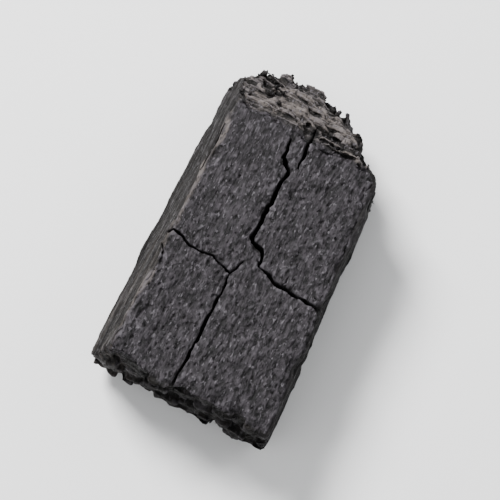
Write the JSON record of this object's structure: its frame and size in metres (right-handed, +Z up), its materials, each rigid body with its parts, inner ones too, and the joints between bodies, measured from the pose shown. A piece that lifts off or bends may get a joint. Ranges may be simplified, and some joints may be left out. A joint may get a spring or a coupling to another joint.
{
  "type": "charcoal lump",
  "caption": "Slab of lump charcoal with a flat, cracked upper face, grained flanks, one end torn across the fibres and the other broken blunt.",
  "frame": {"origin": "centre of the outer box's base, on the surface that the lump lies on", "axes": "+Y along the grain towards the torn end, +X across the broad face, +Z up from the resting face towards the cracked broad face"},
  "size_m": [0.052, 0.0968, 0.0248],
  "materials": {
    "char": "dull near-black char, browner and paler on the torn end and along the left flank"
  },
  "bodies": {
    "root": {"charcoal_lump": "char"}
  },
  "joints": []
}
